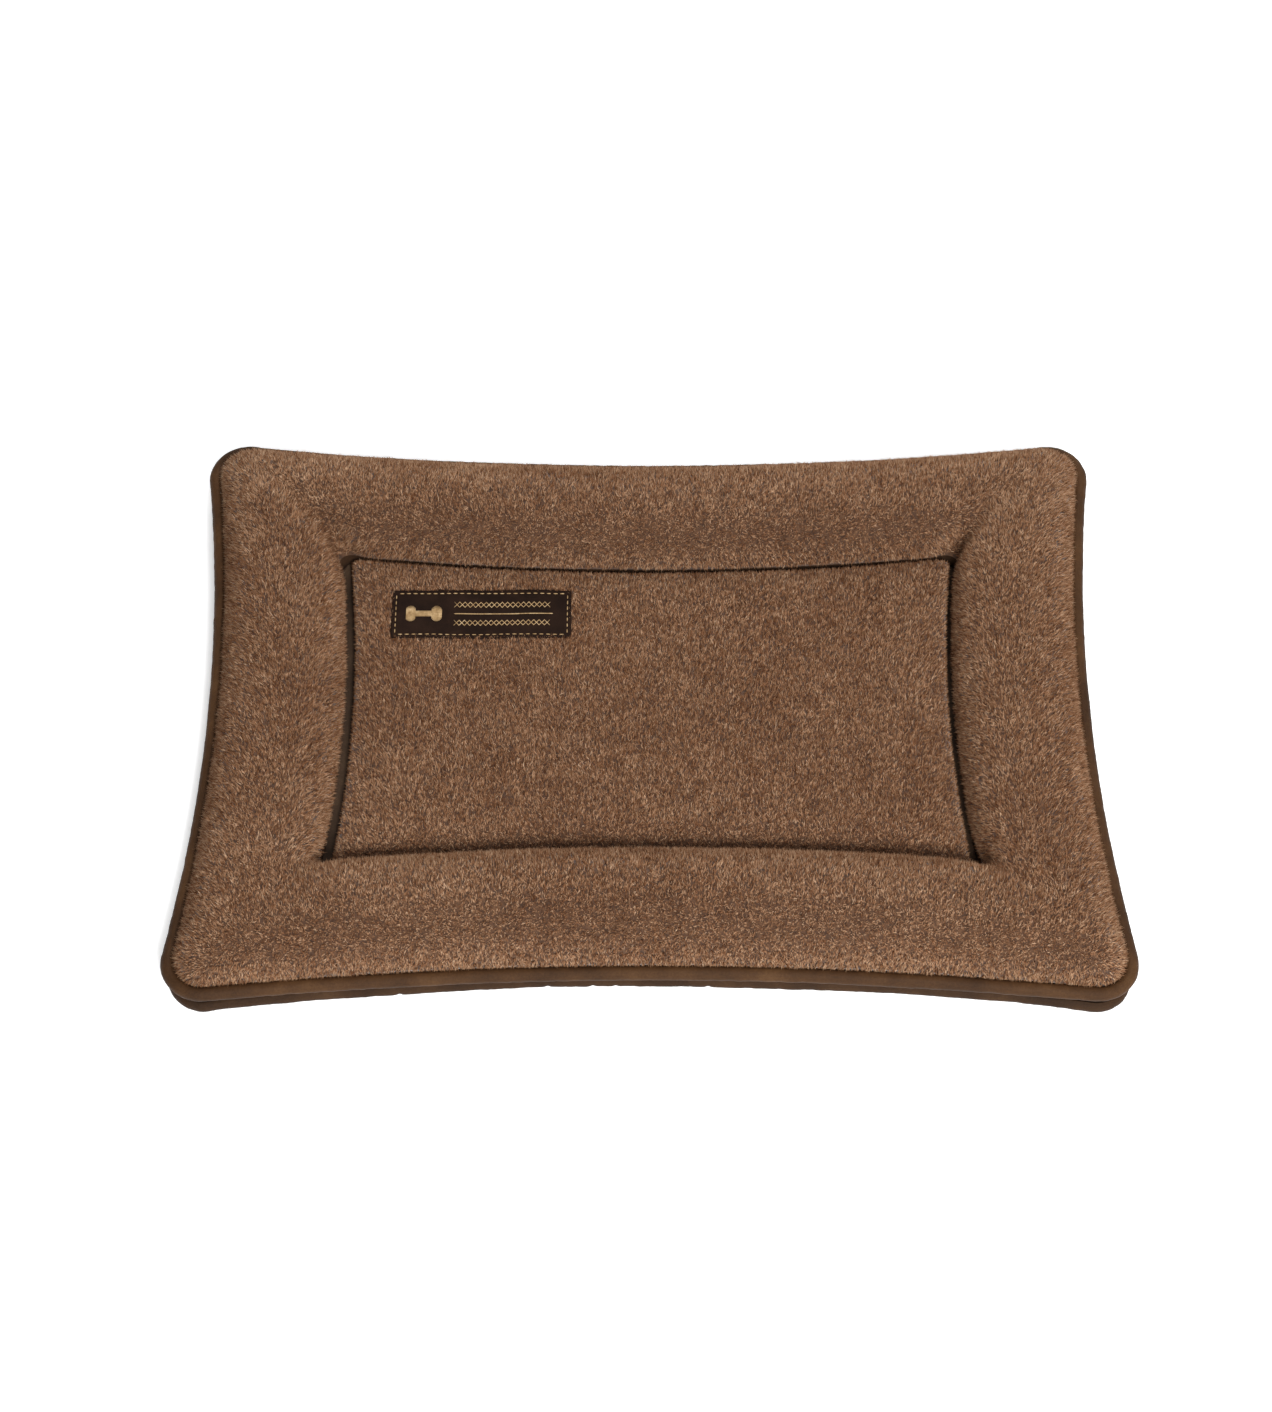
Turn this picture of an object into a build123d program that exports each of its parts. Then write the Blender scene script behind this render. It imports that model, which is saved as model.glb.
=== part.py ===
from build123d import *
import math
import os

# Pet cushion bed, in millimetres. +Z is up, +X to the right and -Y to the front, where the zip is.
# The origin is on the floor, under the middle of the bed.

# Plan: a rectangle whose four sides are pulled in between rounded corners.
bed_width = 607.0  # between the sharp corners; a few less over the rounded ones
bed_depth = 422.0
side_pull_long = 18.5  # how far the front and back edges curve in at their middle
side_pull_short = 18.5  # the same at the left and right edges
corner_radius = 26.0

# The sunken middle panel, sewn down along this inner outline.
seam_width = 414.0
seam_depth = 240.0
seam_pull_long = 11.0
seam_pull_short = 8.0
seam_radius = 10.0

# Heights of the layers, and how far each is set in from the bed's outline.
base_thickness = 1.2
base_inset = 14.2
foam_inset = 19.2
lining_inset = 14.4
layer_gap = 0.2  # between the foam and the sheet that keeps the magnets in
foam_bottom = 1.5
foam_top = 13.0
sheet_thickness = 0.6
lining_bottom = 14.6
lining_thickness = 0.8
stuffing_bottom = 15.6
plush_thickness = 1.8
stuffing_gap = 0.1  # between the plush and what fills it
cut_spare = 5.0  # how far cutting shapes run past the faces they open
crest_height = 61.5
panel_height = 28.0

# Piping: a woven strip round a filler cord, with a sewn flange behind it.
piping_radius = 4.5
piping_wall = 0.7
cord_clearance = 0.15
upper_piping_inset = 4.5  # from the bed's outline to the middle of the upper piping
upper_piping_height = 23.5
lower_piping_inset = 9.0
lower_piping_height = 5.0
flange_thickness = 1.0
flange_bite = 0.4  # how deep the flange runs into the piping's wall
flange_drop = 1.6  # how far below the upper piping's middle its flange lies
seam_allowance = 5.0

# The side band between the two pipings, with a coil zip along the front.
band_inset = 9.8
band_thickness = 1.2
band_bottom = 9.8
band_top = 21.2
zip_half_length = 256.0
tape_inset = 10.6
tape_thickness = 0.6
zip_height = 15.5  # the closing line of the zip
zip_gap = 1.1  # the room for the slider's divider
coil_width = 2.0
coil_depth = 1.4
coil_clearance = 0.1
stop_length = 2.4
end_tab_length = 6.0
end_tab_depth = 1.0

# Slider and pull tab, closed at the right-hand end.
slider_rest_x = 243.5
slider_length = 9.5
slider_height = 8.0
slider_plate = 1.0
slider_corner = 1.8
slider_clearance = 0.45
divider_length = 3.0
divider_thickness = 0.4
ear_height = 0.8
ear_reach = 2.4
ear_margin = 0.2  # how far the ears run past the pin
pin_radius = 0.7
pin_clearance = 0.08
eye_wall = 0.45
tab_length = 22.0
tab_height = 4.2
tab_thickness = 1.2
tab_gap = 0.35  # between the tab and the slider's ears and plate
tab_grip_radius = 1.2
tab_corner = 1.6

# Disc magnets in pockets of the foam mat.
magnet_diameter = 20.0
magnet_thickness = 3.0
magnet_columns = 6
magnet_rows = 4
magnet_pitch_x = 74.0
magnet_pitch_y = 72.0
pocket_clearance = 0.3

# Woven label on the middle panel.
label_width = 118.0
label_depth = 37.0
label_thickness = 0.8
label_x = -110.0
label_y = 68.0
label_stitch_inset = 2.6
label_corner = 1.2
label_gap = 0.05  # under the label and under its threads
bone_x = -36.0  # the bone shape woven at the label's left end
bone_length = 16.0
bone_thickness = 5.0
knob_radius = 3.2
knob_offset = 2.6
bar_start = -12.0  # the bars beside it
bar_depth = 2.4
bar_rows = [(6.0, 46.0), (0.0, 58.0), (-6.0, 34.0)]  # the middle line and length of each
stitch_length = 2.6
stitch_pitch = 4.4
thread_thickness = 0.4
thread_width = 0.6

# Sewing thread along the bottom of the groove round the middle panel.
seam_stitch_count = 96
seam_thread_radius = 0.4
seam_thread_inset = 0.6

# The border's cross-section from the base up to the crest, as (inset from the outline, height).
# It steps out over the upper piping's flange, so this ledge faces down and the rest faces up.
border_ledge = [(base_inset, stuffing_bottom), (base_inset, 22.8), (9.8, 24.4)]
border_outer = [(7.8, 30.0), (9.4, 38.0), (14.0, 46.0), (22.0, 54.0), (31.0, 59.4), (39.0, crest_height)]
# The slope down to the middle panel, as (distance out from the inner seam, height).
border_well = [(0.0, stuffing_bottom), (1.6, 24.0), (6.0, 34.0), (12.0, 43.0), (19.0, 51.0)]
border_well += [(28.0, 57.6), (38.0, crest_height)]
# The crowned middle panel, as (inset from the inner seam, height).
panel_profile = [(1.2, stuffing_bottom), (1.2, 19.0), (7.0, 24.0), (14.0, 27.0), (22.0, panel_height)]


def outline(width, depth, pull_long, pull_short, radius, inset, height):
    """A four-sided face with its sides pulled in and its corners rounded, set in by an equal distance."""
    lean_long = 2 * math.atan(2 * pull_long / width)
    lean_short = 2 * math.atan(2 * pull_short / depth)
    spread = math.cos(lean_long + lean_short)
    x = width / 2 - inset * (math.cos(lean_long) + math.sin(lean_short)) / spread
    y = depth / 2 - inset * (math.cos(lean_short) + math.sin(lean_long)) / spread
    mid_x = width / 2 - pull_short - inset
    mid_y = depth / 2 - pull_long - inset
    front = ThreePointArc((-x, -y), (0, -mid_y), (x, -y))
    right = ThreePointArc((x, -y), (mid_x, 0), (x, y))
    back = ThreePointArc((x, y), (0, mid_y), (-x, y))
    left = ThreePointArc((-x, y), (-mid_x, 0), (-x, -y))
    sharp = make_face([front, right, back, left])
    rounded = fillet(sharp.vertices(), radius)
    return Pos(0, 0, height) * rounded


def bed_outline(inset, height=0.0):
    radius = max(corner_radius - inset, 6.0)
    return outline(bed_width, bed_depth, side_pull_long, side_pull_short, radius, inset, height)


def seam_outline(inset, height=0.0):
    radius = max(seam_radius - inset, 4.0)
    return outline(seam_width, seam_depth, seam_pull_long, seam_pull_short, radius, inset, height)


def layer(inset, bottom, top):
    """A flat sheet or mat with the bed's plan."""
    return extrude(bed_outline(inset, bottom), top - bottom)


def ring(outer_inset, inner_inset, bottom, top):
    return layer(outer_inset, bottom, top) - layer(inner_inset, bottom - cut_spare, top + cut_spare)


def front_arc_radius():
    """Radius of the front edge of the outline, which curves round a point in front of the bed."""
    half = bed_width / 2
    return (half**2 + side_pull_long**2) / (2 * side_pull_long)


def front_arc_centre_y():
    return -(bed_depth / 2 - side_pull_long) - front_arc_radius()


def front_strip(inset, thickness, bottom, top, start_x, end_x):
    """A strip that follows the front edge from start_x to end_x."""
    near = front_arc_radius() + inset
    far = near + thickness
    centre = Pos(0, front_arc_centre_y(), bottom)
    whole = centre * extrude(Circle(far) - Circle(near), top - bottom)
    length = end_x - start_x
    window_y = -bed_depth / 2 + side_pull_long / 2
    window_depth = side_pull_long + 8 * cut_spare
    window = Box(length, window_depth, top - bottom)
    window = Pos((start_x + end_x) / 2, window_y, (bottom + top) / 2) * window
    return whole & window


def at_front(inset, x, height):
    """The place on the front edge at x, turned so that +X runs along the edge and -Y points out."""
    radius = front_arc_radius() + inset
    angle = math.asin(x / radius)
    y = front_arc_centre_y() + radius * math.cos(angle)
    return Pos(x, y, height) * Rot(0, 0, -math.degrees(angle))


def piping_tube(inset, height, flange_start_drop):
    """The woven strip wrapped round its cord, with the flange that is sewn into the seam."""
    path = bed_outline(inset, height).face().outer_wire()
    start = path @ 0
    tangent = path % 0
    section = Plane(origin=start, z_dir=tangent) * Circle(piping_radius)
    hollow = Plane(origin=start, z_dir=tangent) * Circle(piping_radius - piping_wall)
    tube = sweep(section, path) - sweep(hollow, path)
    reach = math.sqrt(piping_radius**2 - flange_start_drop**2)
    flange_start = inset + reach - flange_bite
    flange_middle = height - flange_start_drop
    flange_bottom = flange_middle - flange_thickness / 2
    flange = ring(flange_start, inset + piping_radius + seam_allowance, flange_bottom,
                  flange_bottom + flange_thickness)
    return tube + flange


def piping_cord(inset, height):
    path = bed_outline(inset, height).face().outer_wire()
    radius = piping_radius - piping_wall - cord_clearance
    section = Plane(origin=path @ 0, z_dir=path % 0) * Circle(radius)
    return sweep(section, path)


def upper_piping():
    return piping_tube(upper_piping_inset, upper_piping_height, flange_drop)


def upper_piping_cord():
    return piping_cord(upper_piping_inset, upper_piping_height)


def lower_piping():
    return piping_tube(lower_piping_inset, lower_piping_height, 0.0)


def lower_piping_cord():
    return piping_cord(lower_piping_inset, lower_piping_height)


def lowered(profile, drop):
    """A profile with every height above the base of the stuffing lowered."""
    return [(place, height - drop if height > stuffing_bottom else height) for place, height in profile]


def stack(face_maker, profile, shrink):
    """A ruled solid through one outline per (inset, height) of a profile."""
    return loft([face_maker(place + shrink, height) for place, height in profile], ruled=True)


def border_block(shrink):
    """The stuffed border, shrunk on all sides but its base: outside minus the middle well."""
    outside = stack(bed_outline, lowered(border_ledge, -shrink) + lowered(border_outer, shrink), shrink)
    well_profile = [(-place, height) for place, height in border_well]
    well = stack(seam_outline, lowered(well_profile, shrink), -shrink)
    cap_inset = -border_well[-1][0] - shrink
    cap = extrude(seam_outline(cap_inset, crest_height - shrink), cut_spare)
    floor_gap = extrude(seam_outline(-shrink, stuffing_bottom - cut_spare), cut_spare)
    return outside - (well + cap + floor_gap)


def border_cover():
    return border_block(0) - border_block(plush_thickness)


def border_fill():
    return border_block(plush_thickness + stuffing_gap)


def centre_block(shrink):
    return stack(seam_outline, lowered(panel_profile, shrink), shrink)


def centre_panel():
    return centre_block(0) - centre_block(plush_thickness)


def centre_pad():
    return centre_block(plush_thickness + stuffing_gap)


def base_panel():
    return layer(base_inset, 0, base_thickness)


def magnet_places():
    return GridLocations(magnet_pitch_x, magnet_pitch_y, magnet_columns, magnet_rows)


def foam_mat():
    mat = layer(foam_inset, foam_bottom, foam_top)
    depth = magnet_thickness + 2 * pocket_clearance
    pocket = Cylinder(magnet_diameter / 2 + pocket_clearance, depth)
    for place in magnet_places():
        mat -= Pos(0, 0, foam_top - depth / 2) * place * pocket
    return mat


def magnets():
    disc = Cylinder(magnet_diameter / 2, magnet_thickness)
    middle = foam_top - pocket_clearance - magnet_thickness / 2
    return Compound([Pos(0, 0, middle) * place * disc for place in magnet_places()])


def magnet_sheet():
    bottom = foam_top + layer_gap
    return layer(foam_inset, bottom, bottom + sheet_thickness)


def lining_sheet():
    return layer(lining_inset, lining_bottom, lining_bottom + lining_thickness)


def side_band():
    """The woven band between the pipings, open along the front where the zip is."""
    whole = ring(band_inset, band_inset + band_thickness, band_bottom, band_top)
    opening = Box(2 * zip_half_length, bed_depth / 2, band_top)
    opening = Pos(0, -bed_depth / 2, zip_height) * opening
    return whole - opening


def zip_tape(bottom, top):
    end = zip_half_length - coil_clearance
    return front_strip(tape_inset, tape_thickness, bottom, top, -end, end)


def zip_tape_upper():
    return zip_tape(zip_height + zip_gap / 2, band_top)


def zip_tape_lower():
    return zip_tape(band_bottom, zip_height - zip_gap / 2)


def zip_coil(bottom):
    inset = tape_inset - coil_clearance - coil_depth
    end = zip_half_length - end_tab_length - stop_length
    return front_strip(inset, coil_depth, bottom, bottom + coil_width, -end, end)


def zip_coil_upper():
    return zip_coil(zip_height + zip_gap / 2)


def zip_coil_lower():
    return zip_coil(zip_height - zip_gap / 2 - coil_width)


def zip_stops():
    """The two crimped stops at the ends of the coils."""
    inset = tape_inset - coil_clearance - coil_depth
    outer = zip_half_length - end_tab_length - coil_clearance
    inner = outer - stop_length + 2 * coil_clearance
    bottom = zip_height - coil_width
    top = zip_height + coil_width
    right = front_strip(inset, coil_depth, bottom, top, inner, outer)
    left = front_strip(inset, coil_depth, bottom, top, -outer, -inner)
    return Compound([right.solid(), left.solid()])


def zip_end_tabs():
    """Folded pieces of band cloth over both ends of the zip."""
    inset = tape_inset - coil_clearance - end_tab_depth
    outer = zip_half_length - coil_clearance
    inner = outer - end_tab_length + coil_clearance
    right = front_strip(inset, end_tab_depth, band_bottom, band_top, inner, outer)
    left = front_strip(inset, end_tab_depth, band_bottom, band_top, -outer, -inner)
    return Compound([right.solid(), left.solid()])


def slider_front_inset():
    """The outer face of the slider's front plate."""
    coil_front = tape_inset - coil_clearance - coil_depth
    return coil_front - slider_clearance - slider_plate


def slider_place():
    return at_front(slider_front_inset(), slider_rest_x, zip_height)


def eye_outer_radius():
    return pin_radius + pin_clearance + eye_wall


def pin_offset():
    """From the front plate's outer face out to the pin, along the slider's own Y."""
    return -eye_outer_radius() - tab_gap


def zip_slider():
    """Front and back plates joined by a divider, with two ears that hold the pull tab's pin."""
    front_inset = slider_front_inset()
    back_inset = tape_inset + tape_thickness + slider_clearance
    plate = RectangleRounded(slider_length, slider_height, slider_corner)
    upright = Rot(90, 0, 0)
    front = Pos(0, slider_plate / 2, 0) * upright * extrude(plate, slider_plate / 2, both=True)
    shift = back_inset - front_inset
    back = Pos(0, shift, 0) * front
    bridge_depth = shift + slider_plate
    divider = Pos(slider_length / 2 - divider_length, bridge_depth / 2, 0)
    divider *= Box(divider_length, bridge_depth, divider_thickness)
    pin_y = pin_offset()
    ear_middle = tab_height / 2 + tab_gap + ear_height / 2
    ear_out = pin_y - pin_radius - ear_margin
    ear_in = slider_plate / 2
    ear = Box(ear_reach, ear_in - ear_out, ear_height)
    ear_y = (ear_in + ear_out) / 2
    body = front + back + divider
    for side in (-1, 1):
        body += Pos(0, ear_y, side * ear_middle) * ear
    body += Pos(0, pin_y, 0) * Cylinder(pin_radius, 2 * ear_middle)
    return slider_place() * body


def zip_pull_tab():
    """A flat tab with an eye round the slider's pin, lying along the closed zip."""
    eye_radius = pin_radius + pin_clearance
    knuckle = Cylinder(eye_outer_radius(), tab_height)
    blade_start = eye_radius + eye_wall / 2
    middle = -(blade_start + tab_length) / 2
    blade = RectangleRounded(tab_length - blade_start, tab_height, tab_corner)
    blade = extrude(blade, tab_thickness / 2, both=True)
    blade = Pos(middle, 0, 0) * Rot(90, 0, 0) * blade
    hole = Cylinder(eye_radius, tab_height + cut_spare)
    grip = Pos(-tab_length + 4 * tab_grip_radius, 0, 0) * Rot(90, 0, 0)
    grip *= Cylinder(tab_grip_radius, 2 * tab_thickness)
    tab = knuckle + blade - hole - grip
    return slider_place() * Pos(0, pin_offset(), 0) * tab


def label_patch():
    patch = extrude(RectangleRounded(label_width, label_depth, label_corner), label_thickness)
    return Pos(label_x, label_y, panel_height + label_gap) * patch


def label_thread_height():
    return panel_height + label_thickness + 2 * label_gap


def label_stitching():
    """Run stitches just inside the label's edge."""
    x = label_width / 2 - label_stitch_inset
    y = label_depth / 2 - label_stitch_inset
    stitches = []
    for span, side, turn in ((x, y, 0), (y, x, 90)):
        count = int(2 * span // stitch_pitch)
        for edge in (-1, 1):
            for i in range(count):
                along = (i - (count - 1) / 2) * stitch_pitch
                bar = Box(stitch_length, thread_width, thread_thickness)
                stitches.append(Rot(0, 0, turn) * Pos(along, edge * side, 0) * bar)
    height = label_thread_height() + thread_thickness / 2
    return Pos(label_x, label_y, height) * Compound(stitches)


def label_motif():
    """A plain bone shape and three bars, woven in a light thread."""
    bone = Rectangle(bone_length, bone_thickness)
    for x in (-bone_length / 2, bone_length / 2):
        for y in (-knob_offset, knob_offset):
            bone += Pos(x, y) * Circle(knob_radius)
    bone = Pos(bone_x, 0) * bone
    motif = [extrude(bone, thread_thickness)]
    for y, length in bar_rows:
        bar = Pos(bar_start + length / 2, y) * Rectangle(length, bar_depth)
        motif.append(extrude(bar, thread_thickness))
    return Pos(label_x, label_y, label_thread_height()) * Compound([piece.solid() for piece in motif])


def panel_seam_thread():
    """The stitches that hold the panel and border down to the lining, along the groove."""
    path = seam_outline(seam_thread_inset, stuffing_bottom + seam_thread_inset).face().outer_wire()
    stitches = []
    for i in range(seam_stitch_count):
        start = path @ (i / seam_stitch_count)
        tangent = path % (i / seam_stitch_count)
        plane = Plane(origin=start, z_dir=tangent)
        stitches.append(plane * Cylinder(seam_thread_radius, stitch_length))
    return Compound(stitches)


makers = [
    base_panel,
    foam_mat,
    magnets,
    magnet_sheet,
    lining_sheet,
    centre_pad,
    centre_panel,
    border_fill,
    border_cover,
    upper_piping,
    upper_piping_cord,
    lower_piping,
    lower_piping_cord,
    side_band,
    zip_tape_upper,
    zip_tape_lower,
    zip_coil_upper,
    zip_coil_lower,
    zip_stops,
    zip_end_tabs,
    zip_slider,
    zip_pull_tab,
    label_patch,
    label_stitching,
    label_motif,
    panel_seam_thread,
]

os.makedirs("parts", exist_ok=True)
for make in makers:
    export_step(make(), f"parts/{make.__name__}.step")

slider_radius = front_arc_radius() + slider_front_inset()
slider_angle = math.degrees(math.asin(slider_rest_x / slider_radius))
pin = (slider_place() * Pos(0, pin_offset(), 0)).position
print("zip arc centre y", round(front_arc_centre_y(), 3), "full travel degrees", round(2 * slider_angle, 3))
print("pull tab pin", round(pin.X, 3), round(pin.Y, 3), round(pin.Z, 3))
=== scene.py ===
import bpy
import math
import numpy as np
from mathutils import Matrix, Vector


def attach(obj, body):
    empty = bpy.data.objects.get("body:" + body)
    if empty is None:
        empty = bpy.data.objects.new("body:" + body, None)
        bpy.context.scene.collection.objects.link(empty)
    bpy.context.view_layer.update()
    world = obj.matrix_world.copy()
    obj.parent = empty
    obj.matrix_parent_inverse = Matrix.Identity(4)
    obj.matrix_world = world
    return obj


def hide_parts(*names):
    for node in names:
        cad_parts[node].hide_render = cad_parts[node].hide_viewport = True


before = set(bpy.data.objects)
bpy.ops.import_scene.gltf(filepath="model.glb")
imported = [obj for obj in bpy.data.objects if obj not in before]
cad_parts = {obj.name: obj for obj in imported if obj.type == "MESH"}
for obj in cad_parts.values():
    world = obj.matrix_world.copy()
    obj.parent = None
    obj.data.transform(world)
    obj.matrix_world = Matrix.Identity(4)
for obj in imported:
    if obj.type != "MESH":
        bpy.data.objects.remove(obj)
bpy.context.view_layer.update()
mm = 0.001
bedBody = "bed"

# The plan of the bed: a rectangle with its sides pulled in and its corners rounded, in millimetres.
bedPlan = {"width": 607.0, "depth": 422.0, "pullLong": 18.5, "pullShort": 18.5,
           "radius": 26.0, "least": 6.0}
# The inner rectangle along which the middle panel is sewn down.
seamPlan = {"width": 414.0, "depth": 240.0, "pullLong": 11.0, "pullShort": 8.0,
            "radius": 10.0, "least": 4.0}
ringSteps = {"long": 72, "corner": 14, "short": 48}  # points in half a side, a corner, half an end
hashPrimes = np.array([73856093, 19349663, 83492791])  # large primes that spread grid cells apart


# Radius of an edge that is half long on each side of its middle and curves in by pull.
def arcRadius(half, pull):
    return (half**2 + pull**2) / (2 * pull)


# Points from the middle of the front edge round the right front corner to the middle of the right edge.
def quadrant(plan, inset):
    halfWidth, halfDepth = plan["width"] / 2, plan["depth"] / 2
    longRadius = arcRadius(halfWidth, plan["pullLong"])
    shortRadius = arcRadius(halfDepth, plan["pullShort"])
    frontCentre = np.array([0.0, -(halfDepth - plan["pullLong"]) - longRadius])
    rightCentre = np.array([halfWidth - plan["pullShort"] + shortRadius, 0.0])
    longRadius, shortRadius = longRadius + inset, shortRadius + inset
    radius = max(plan["radius"] - inset, plan["least"])
    # the corner's circle touches both edges, so its centre is a known distance from both edges' centres
    across = rightCentre - frontCentre
    span = np.linalg.norm(across)
    a, b = longRadius + radius, shortRadius + radius
    along = (a * a - b * b + span * span) / (2 * span)
    off = math.sqrt(a * a - along * along)
    unit = across / span
    centre = frontCentre + unit * along + np.array([-unit[1], unit[0]]) * off
    start = math.atan2(*(frontCentre - centre)[::-1])
    end = math.atan2(*(rightCentre - centre)[::-1])
    turn = np.linspace(start, end, ringSteps["corner"] + 1)
    corner = centre + radius * np.stack([np.cos(turn), np.sin(turn)], 1)
    frontSteps = np.arange(ringSteps["long"]) / ringSteps["long"]
    lean = math.asin((corner[0] - frontCentre)[0] / longRadius) * frontSteps
    front = frontCentre + longRadius * np.stack([np.sin(lean), np.cos(lean)], 1)
    rightSteps = np.arange(ringSteps["short"], -1, -1) / ringSteps["short"]
    rise = math.asin(corner[-1][1] / shortRadius) * rightSteps
    right = rightCentre + shortRadius * np.stack([-np.cos(rise), np.sin(rise)], 1)
    return np.concatenate([front, corner[:-1], right])


# The closed outline, anticlockwise from the middle of the front edge, in millimetres.
def planRing(plan, inset):
    q = quadrant(plan, inset)
    backRight = (q * [1, -1])[::-1]
    backLeft = q * [-1, -1]
    frontLeft = (q * [-1, 1])[::-1]
    return np.concatenate([q[:-1], backRight[:-1], backLeft[:-1], frontLeft[:-1]])


ringCount = len(planRing(bedPlan, 0))
print("outline points", ringCount)


# Smooth noise from -1 to 1 at points of any dimension, repeatable for one seed.
def latticeNoise(points, cell, seed):
    points = np.asarray(points, float) / cell
    base = np.floor(points).astype(np.int64)
    part = points - base
    part = part * part * (3 - 2 * part)
    dims = points.shape[1]
    total = np.zeros(len(points))
    for corner in range(2**dims):
        step = np.array([(corner >> d) & 1 for d in range(dims)])
        key = ((base + step) * hashPrimes[:dims]).sum(1) ^ (seed * 2654435761)
        key = (key ^ (key >> 13)) * 1274126177
        value = ((key ^ (key >> 16)) & 0xFFFF) / 32767.5 - 1
        weight = np.where(step == 1, part, 1 - part).prod(1)
        total += value * weight
    return total


# A mesh piece from points in millimetres and arrays of triangles or quads.
def addMesh(name, points, faceGroups, materials, tones=None, smooth=True, body=bedBody):
    points = np.asarray(points, float).reshape(-1, 3) * mm
    faceGroups = [np.asarray(f, np.int32) for f in faceGroups if len(f)]
    volume = 0
    for f in faceGroups:
        for k in range(1, f.shape[1] - 1):
            volume += (points[f[:, 0]] * np.cross(points[f[:, k]], points[f[:, k + 1]])).sum()
    if volume < 0:  # every piece is closed, so a negative volume means that its faces point inwards
        faceGroups = [f[:, ::-1] for f in faceGroups]
    sizes = np.concatenate([np.full(len(f), f.shape[1]) for f in faceGroups])
    corners = np.concatenate([f.reshape(-1) for f in faceGroups]).astype(np.int32)
    mesh = bpy.data.meshes.new(name)
    mesh.vertices.add(len(points))
    mesh.vertices.foreach_set("co", points.astype(np.float32).ravel())
    mesh.loops.add(len(corners))
    mesh.loops.foreach_set("vertex_index", corners)
    mesh.polygons.add(len(sizes))
    mesh.polygons.foreach_set("loop_start", (np.cumsum(sizes) - sizes).astype(np.int32))
    for material in materials:
        mesh.materials.append(material)
    if tones is not None:
        mesh.polygons.foreach_set("material_index", np.asarray(tones, np.int32))
    mesh.polygons.foreach_set("use_smooth", np.full(len(sizes), smooth))
    mesh.update(calc_edges=True)
    piece = bpy.data.objects.new(name, mesh)
    bpy.context.scene.collection.objects.link(piece)
    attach(piece, body)
    return piece


# Quads over a grid of rows round a closed ring, with open or closed columns.
def ringQuads(rows, columns, closeColumns=False):
    i = np.arange(rows)[:, None]
    j = np.arange(columns if closeColumns else columns - 1)[None, :]
    nextI, nextJ = (i + 1) % rows, (j + 1) % columns
    corners = [i * columns + j, nextI * columns + j, nextI * columns + nextJ, i * columns + nextJ]
    return np.stack(corners, -1).reshape(-1, 4)


def gridQuads(rows, columns):
    i, j = np.meshgrid(np.arange(rows - 1), np.arange(columns - 1), indexing="ij")
    a = i * columns + j
    return np.stack([a, a + columns, a + columns + 1, a + 1], -1).reshape(-1, 4)


# Unit normals of a grid of points, pointing to the side that +Z is on.
def gridNormals(grid, closedRows):
    if closedRows:
        alongRows = np.roll(grid, -1, 0) - np.roll(grid, 1, 0)
    else:
        alongRows = np.gradient(grid, axis=0)
    alongColumns = np.gradient(grid, axis=1)
    normals = np.cross(alongRows, alongColumns)
    normals /= np.linalg.norm(normals, axis=-1, keepdims=True) + 1e-9
    return normals if normals[..., 2].mean() > 0 else -normals


# The same grid at twice the density, smoothly interpolated.
def refine(grid, closedRows):
    def between(g, closed):
        if closed:
            near = [np.roll(g, k, 0) for k in (1, 0, -1, -2)]
        else:
            padded = np.concatenate([2 * g[:1] - g[1:2], g, 2 * g[-1:] - g[-2:-1]])
            near = [padded[:-3], padded[1:-2], padded[2:-1], padded[3:]]
        middle = (-near[0] + 9 * near[1] + 9 * near[2] - near[3]) / 16
        out = np.empty((len(g) + len(middle),) + g.shape[1:])
        out[0::2] = g
        out[1::2] = middle
        return out

    rows = between(grid, closedRows)
    return np.swapaxes(between(np.swapaxes(rows, 0, 1), False), 0, 1)


def newMaterial(name):
    material = bpy.data.materials.new(name)
    material.use_nodes = True
    tree = material.node_tree
    return material, tree, tree.nodes["Principled BSDF"]


def addNode(tree, kind, **inputs):
    made = tree.nodes.new(kind)
    for key, value in inputs.items():
        if key in made.inputs:
            made.inputs[key].default_value = value
        else:
            setattr(made, key, value)
    return made


# A display colour, 0 to 255, as the shader's linear colour.
def linear(colour):
    part = [c / 255 for c in colour]
    return [c / 12.92 if c <= 0.04045 else ((c + 0.055) / 1.055) ** 2.4 for c in part] + [1.0]


def colourRamp(tree, stops):
    ramp = tree.nodes.new("ShaderNodeValToRGB")
    while len(ramp.color_ramp.elements) < len(stops):
        ramp.color_ramp.elements.new(0.5)
    for element, (place, colour) in zip(ramp.color_ramp.elements, stops):
        element.position = place
        element.color = linear(colour)
    return ramp


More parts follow.
